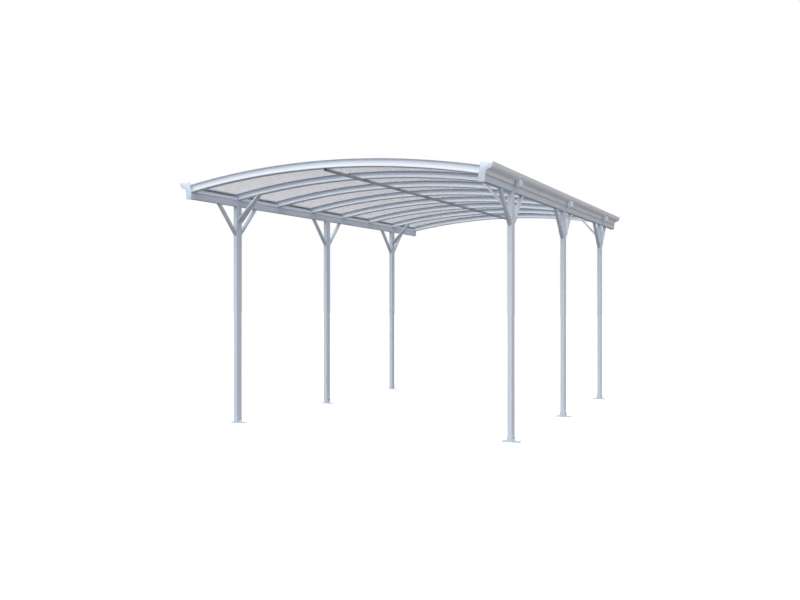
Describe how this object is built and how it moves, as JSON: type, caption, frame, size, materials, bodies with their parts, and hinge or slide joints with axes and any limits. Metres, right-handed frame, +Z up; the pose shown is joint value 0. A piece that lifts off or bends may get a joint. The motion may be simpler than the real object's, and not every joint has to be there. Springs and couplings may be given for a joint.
{
  "type": "arched-roof carport",
  "caption": "Free-standing open carport: posts on bolted foot plates carry gutter beams, arched ribs hold curved translucent roof panels, and braces stiffen the post heads.",
  "frame": {"origin": "on the ground, in the middle of the plan", "axes": "+Y along the carport from the front end to the back, +X to the right as seen from the front, +Z up"},
  "size_m": [2.961, 4.99, 2.352],
  "materials": {
    "frame": "satin silver-grey coating",
    "foot": "satin",
    "cap": "satin",
    "trim": "satin",
    "clip": "matt",
    "panel": "translucent twin-wall sheet"
  },
  "bodies": {
    "root": {"post_front_left": "frame", "post_front_right": "frame", "post_middle_left": "frame", "post_middle_right": "frame", "post_back_left": "frame", "post_back_right": "frame", "foot_front_left": "foot", "foot_front_right": "foot", "foot_middle_left": "foot", "foot_middle_right": "foot", "foot_back_left": "foot", "foot_back_right": "foot", "braces_front_left": "frame", "braces_front_right": "frame", "braces_middle_left": "frame", "braces_middle_right": "frame", "braces_back_left": "frame", "braces_back_right": "frame", "gutter_beam_left": "frame", "gutter_beam_right": "frame", "gutter_cap_front_left": "cap", "gutter_cap_front_right": "cap", "gutter_cap_back_left": "cap", "gutter_cap_back_right": "cap", "gutter_trim_left": "trim", "gutter_trim_right": "trim", "gutter_clips_left": "clip", "gutter_clips_right": "clip", "front_arch": "frame", "arch_2": "frame", "arch_3": "frame", "arch_4": "frame", "arch_5": "frame", "arch_6": "frame", "arch_7": "frame", "back_arch": "frame", "roof_panel_1": "panel", "roof_panel_2": "panel", "roof_panel_3": "panel", "roof_panel_4": "panel", "roof_panel_5": "panel", "roof_panel_6": "panel", "roof_panel_7": "panel", "ridge_purlin": "frame"}
  },
  "joints": []
}
